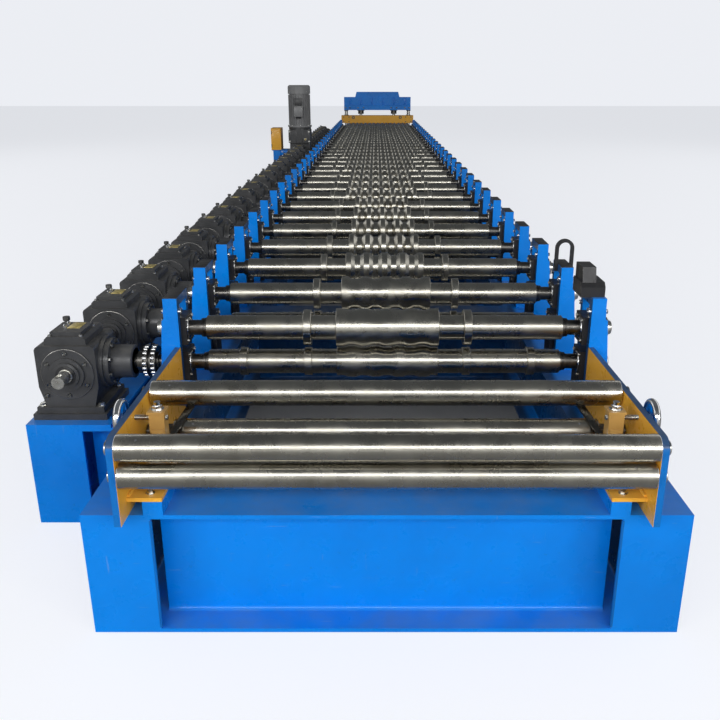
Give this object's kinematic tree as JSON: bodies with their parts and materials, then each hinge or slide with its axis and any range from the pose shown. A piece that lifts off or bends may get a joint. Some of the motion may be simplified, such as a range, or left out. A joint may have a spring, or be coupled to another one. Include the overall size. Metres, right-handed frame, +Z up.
{
  "type": "roll forming machine",
  "caption": "Roll forming machine for corrugated sheet: beam base, entry guide rolls, stands with driven roll shafts, gearbox row, main drive and cut-off press.",
  "frame": {"origin": "on the floor, on the machine's centre line, under the web of the front cross beam", "axes": "+Y along the strip from the entry to the exit, +X to the right seen from the entry, +Z up"},
  "size_m": [2.427, 16.8789, 1.544],
  "materials": {
    "blue_paint": "gloss enamel",
    "orange_paint": "gloss enamel",
    "black_blocks": "blackened steel, satin",
    "bright_steel": "turned and plated steel",
    "roll_steel": "ground and polished steel",
    "cast_iron": "dark painted casting",
    "motor_grey": "satin enamel"
  },
  "bodies": {
    "machine": {"base_beam_left": "blue_paint", "base_beam_right": "blue_paint", "base_cross_beams": "blue_paint", "gearbox_bench": "blue_paint", "bench_ties": "blue_paint", "entry_plate_left": "orange_paint", "entry_plate_right": "orange_paint", "entry_feet": "orange_paint", "entry_blocks": "blue_paint", "guide_bar": "bright_steel", "side_guide_left": "orange_paint", "side_guide_right": "orange_paint", "stands_left": "blue_paint", "stands_right": "blue_paint", "bearing_blocks_left": "black_blocks", "bearing_blocks_right": "black_blocks", "setting_screws": "bright_steel", "stand_cap": "black_blocks", "lifting_loop": "black_blocks", "lower_shafts_rear": "roll_steel", "upper_shafts_rear": "roll_steel", "gearbox_housings": "cast_iron", "gearbox_top_covers": "cast_iron", "gearbox_flanges": "cast_iron", "drive_reducer": "cast_iron", "drive_motor": "motor_grey", "motor_terminal_box": "motor_grey", "drive_guard": "orange_paint", "guard_bracket": "blue_paint", "press_frame": "orange_paint", "lower_die": "orange_paint", "guide_posts": "bright_steel", "top_beam": "blue_paint", "press_cylinders": "cast_iron"},
    "entry_roll_front_upper": {"entry_roll_front_upper": "roll_steel"},
    "entry_roll_front_lower": {"entry_roll_front_lower": "roll_steel"},
    "entry_roll_rear_upper": {"entry_roll_rear_upper": "roll_steel"},
    "entry_roll_rear_lower": {"entry_roll_rear_lower": "roll_steel"},
    "handwheel_left": {"handwheel_left": "bright_steel"},
    "handwheel_right": {"handwheel_right": "bright_steel"},
    "line_shaft": {"line_shaft": "bright_steel"},
    "lower_shaft_1": {"lower_shaft_1": "roll_steel"},
    "upper_shaft_1": {"upper_shaft_1": "roll_steel"},
    "lower_shaft_2": {"lower_shaft_2": "roll_steel"},
    "upper_shaft_2": {"upper_shaft_2": "roll_steel"},
    "lower_shaft_3": {"lower_shaft_3": "roll_steel"},
    "upper_shaft_3": {"upper_shaft_3": "roll_steel"},
    "lower_shaft_4": {"lower_shaft_4": "roll_steel"},
    "upper_shaft_4": {"upper_shaft_4": "roll_steel"},
    "lower_shaft_5": {"lower_shaft_5": "roll_steel"},
    "upper_shaft_5": {"upper_shaft_5": "roll_steel"},
    "lower_shaft_6": {"lower_shaft_6": "roll_steel"},
    "upper_shaft_6": {"upper_shaft_6": "roll_steel"},
    "blade_holder": {"blade_holder": "orange_paint"}
  },
  "joints": [
    {"name": "entry_roll_front_upper_spin", "type": "hinge", "parent": "machine", "child": "entry_roll_front_upper", "pos_m": [0, -0.143, 0.632], "axis": [1, 0, 0], "continuous": true},
    {"name": "entry_roll_front_lower_spin", "type": "hinge", "parent": "machine", "child": "entry_roll_front_lower", "pos_m": [0, -0.143, 0.55], "axis": [1, 0, 0], "continuous": true},
    {"name": "entry_roll_rear_upper_spin", "type": "hinge", "parent": "machine", "child": "entry_roll_rear_upper", "pos_m": [0, 0.228, 0.644], "axis": [1, 0, 0], "continuous": true},
    {"name": "entry_roll_rear_lower_spin", "type": "hinge", "parent": "machine", "child": "entry_roll_rear_lower", "pos_m": [0, 0.15, 0.55], "axis": [1, 0, 0], "continuous": true},
    {"name": "handwheel_left_turn", "type": "hinge", "parent": "machine", "child": "handwheel_left", "pos_m": [0, 0.05, 0.638], "axis": [1, 0, 0], "continuous": true},
    {"name": "handwheel_right_turn", "type": "hinge", "parent": "machine", "child": "handwheel_right", "pos_m": [0, 0.05, 0.638], "axis": [1, 0, 0], "continuous": true},
    {"name": "line_shaft_spin", "type": "hinge", "parent": "machine", "child": "line_shaft", "pos_m": [-1.141, 0, 0.572], "axis": [0, 1, 0], "continuous": true},
    {"name": "lower_shaft_1_spin", "type": "hinge", "parent": "machine", "child": "lower_shaft_1", "pos_m": [0, 0.708, 0.582], "axis": [1, 0, 0], "continuous": true},
    {"name": "upper_shaft_1_spin", "type": "hinge", "parent": "machine", "child": "upper_shaft_1", "pos_m": [0, 0.708, 0.713], "axis": [1, 0, 0], "continuous": true},
    {"name": "lower_shaft_2_spin", "type": "hinge", "parent": "machine", "child": "lower_shaft_2", "pos_m": [0, 1.208, 0.582], "axis": [1, 0, 0], "continuous": true},
    {"name": "upper_shaft_2_spin", "type": "hinge", "parent": "machine", "child": "upper_shaft_2", "pos_m": [0, 1.208, 0.713], "axis": [1, 0, 0], "continuous": true},
    {"name": "lower_shaft_3_spin", "type": "hinge", "parent": "machine", "child": "lower_shaft_3", "pos_m": [0, 1.708, 0.582], "axis": [1, 0, 0], "continuous": true},
    {"name": "upper_shaft_3_spin", "type": "hinge", "parent": "machine", "child": "upper_shaft_3", "pos_m": [0, 1.708, 0.713], "axis": [1, 0, 0], "continuous": true},
    {"name": "lower_shaft_4_spin", "type": "hinge", "parent": "machine", "child": "lower_shaft_4", "pos_m": [0, 2.208, 0.582], "axis": [1, 0, 0], "continuous": true},
    {"name": "upper_shaft_4_spin", "type": "hinge", "parent": "machine", "child": "upper_shaft_4", "pos_m": [0, 2.208, 0.713], "axis": [1, 0, 0], "continuous": true},
    {"name": "lower_shaft_5_spin", "type": "hinge", "parent": "machine", "child": "lower_shaft_5", "pos_m": [0, 2.708, 0.582], "axis": [1, 0, 0], "continuous": true},
    {"name": "upper_shaft_5_spin", "type": "hinge", "parent": "machine", "child": "upper_shaft_5", "pos_m": [0, 2.708, 0.713], "axis": [1, 0, 0], "continuous": true},
    {"name": "lower_shaft_6_spin", "type": "hinge", "parent": "machine", "child": "lower_shaft_6", "pos_m": [0, 3.208, 0.582], "axis": [1, 0, 0], "continuous": true},
    {"name": "upper_shaft_6_spin", "type": "hinge", "parent": "machine", "child": "upper_shaft_6", "pos_m": [0, 3.208, 0.713], "axis": [1, 0, 0], "continuous": true},
    {"name": "blade_stroke", "type": "slide", "parent": "machine", "child": "blade_holder", "axis": [0, 0, -1], "range_m": [0, 0.07]}
  ],
  "couplings": [
    {"joint": "lower_shaft_1_spin", "follows": "line_shaft_spin", "ratio": -1},
    {"joint": "lower_shaft_2_spin", "follows": "line_shaft_spin", "ratio": -1},
    {"joint": "lower_shaft_3_spin", "follows": "line_shaft_spin", "ratio": -1},
    {"joint": "lower_shaft_4_spin", "follows": "line_shaft_spin", "ratio": -1},
    {"joint": "lower_shaft_5_spin", "follows": "line_shaft_spin", "ratio": -1},
    {"joint": "lower_shaft_6_spin", "follows": "line_shaft_spin", "ratio": -1}
  ]
}
